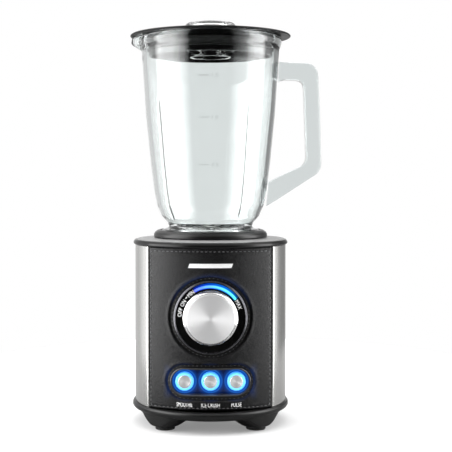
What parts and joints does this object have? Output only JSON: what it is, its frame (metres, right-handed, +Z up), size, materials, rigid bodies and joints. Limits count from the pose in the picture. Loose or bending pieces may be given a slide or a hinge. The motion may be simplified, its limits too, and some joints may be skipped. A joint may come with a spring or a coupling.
{
  "type": "countertop blender",
  "caption": "Countertop blender with a round steel and leather motor base, lit dial and buttons, glass jug with handle, lid and measuring cap.",
  "frame": {"origin": "on the table, under the middle of the whole object's bounding box", "axes": "+Z up, the controls face -Y, the handle points to +X; the drive axis is upright at x = -15.9 mm, y = 0"},
  "size_m": [0.1958, 0.164, 0.407],
  "materials": {
    "black_plastic": "satin black moulded plastic",
    "black_gloss": "polished black plastic",
    "leather": "black grained leather, stitched along its edges",
    "steel_brushed": "steel with a fine vertical brushed grain",
    "steel_plain": "plain machined or pressed steel",
    "chrome": "bright chrome",
    "aluminium": "spun aluminium, brushed round its centre",
    "glass": "clear thick moulded glass",
    "clear_plastic": "clear moulded plastic",
    "rubber": "black rubber",
    "lamination": "dark lacquered steel laminations",
    "copper_wire": "lacquered copper wire",
    "bronze": "sintered bronze",
    "circuit_board": "green circuit board",
    "light_blue": "frosted light guide, lit blue"
  },
  "bodies": {
    "base": {"bottom_housing": "black_plastic", "top_cover": "black_plastic", "panel_carrier": "black_plastic", "dial_housing": "black_plastic", "cord_gland": "black_plastic", "speed_control": "black_plastic", "brush_left": "black_plastic", "brush_right": "black_plastic", "button_bezel": "black_gloss", "leather_cover": "leather", "steel_body": "steel_brushed", "upper_bracket": "steel_plain", "lower_bracket": "steel_plain", "bearing_lower": "steel_plain", "bearing_upper": "steel_plain", "tie_screw_1": "steel_plain", "tie_screw_2": "steel_plain", "tie_screw_3": "steel_plain", "tie_screw_4": "steel_plain", "dial_ring": "chrome", "foot_front_left": "rubber", "foot_front_right": "rubber", "foot_rear_left": "rubber", "foot_rear_right": "rubber", "motor_stator": "lamination", "field_coil_left": "copper_wire", "field_coil_right": "copper_wire", "control_board": "circuit_board", "light_arc": "light_blue", "light_ring_1": "light_blue", "light_ring_2": "light_blue", "light_ring_3": "light_blue"},
    "rotor": {"motor_shaft": "steel_plain", "rotor_core": "lamination", "rotor_winding": "copper_wire", "commutator": "copper_wire", "cooling_fan": "black_plastic", "drive_coupling": "rubber"},
    "knob": {"knob_body": "aluminium", "knob_face": "aluminium", "knob_shaft": "steel_plain"},
    "button_left": {"button_1": "aluminium"},
    "button_middle": {"button_2": "aluminium"},
    "button_right": {"button_3": "aluminium"},
    "jug": {"glass_jug": "glass", "jug_handle": "glass", "jug_collar": "black_plastic", "blade_gasket": "rubber", "blade_holder": "steel_plain", "shaft_bush": "bronze"},
    "blades": {"blade_shaft": "steel_plain", "blade_lower": "steel_plain", "blade_upper": "steel_plain", "blade_nut": "steel_plain", "jug_coupling": "rubber"},
    "lid": {"lid": "black_gloss", "lid_seal": "rubber"},
    "cap": {"measuring_cap": "clear_plastic"}
  },
  "joints": [
    {"name": "motor_spin", "type": "hinge", "parent": "base", "child": "rotor", "pos_m": [-0.0159, 0, 0.095], "axis": [0, 0, 1], "continuous": true},
    {"name": "knob_turn", "type": "hinge", "parent": "base", "child": "knob", "pos_m": [-0.0159, -0.07, 0.113], "axis": [0, 1, 0], "range_deg": [0, 146]},
    {"name": "button_left_press", "type": "slide", "parent": "base", "child": "button_left", "axis": [0, 1, 0], "range_m": [0, 0.0018], "stiffness_N_per_m": 400, "springref_m": -0.003},
    {"name": "button_middle_press", "type": "slide", "parent": "base", "child": "button_middle", "axis": [0, 1, 0], "range_m": [0, 0.0018], "stiffness_N_per_m": 400, "springref_m": -0.003},
    {"name": "button_right_press", "type": "slide", "parent": "base", "child": "button_right", "axis": [0, 1, 0], "range_m": [0, 0.0018], "stiffness_N_per_m": 400, "springref_m": -0.003},
    {"name": "jug_lift", "type": "slide", "parent": "base", "child": "jug", "axis": [0, 0, 1], "range_m": [0, 0.08]},
    {"name": "blade_spin", "type": "hinge", "parent": "jug", "child": "blades", "pos_m": [-0.0159, 0, 0.19], "axis": [0, 0, 1], "continuous": true},
    {"name": "lid_lift", "type": "slide", "parent": "jug", "child": "lid", "axis": [0, 0, 1], "range_m": [0, 0.06]},
    {"name": "cap_lift", "type": "slide", "parent": "lid", "child": "cap", "axis": [0, 0, 1], "range_m": [0, 0.05]}
  ],
  "couplings": [
    {"joint": "blade_spin", "follows": "motor_spin", "ratio": 1}
  ]
}
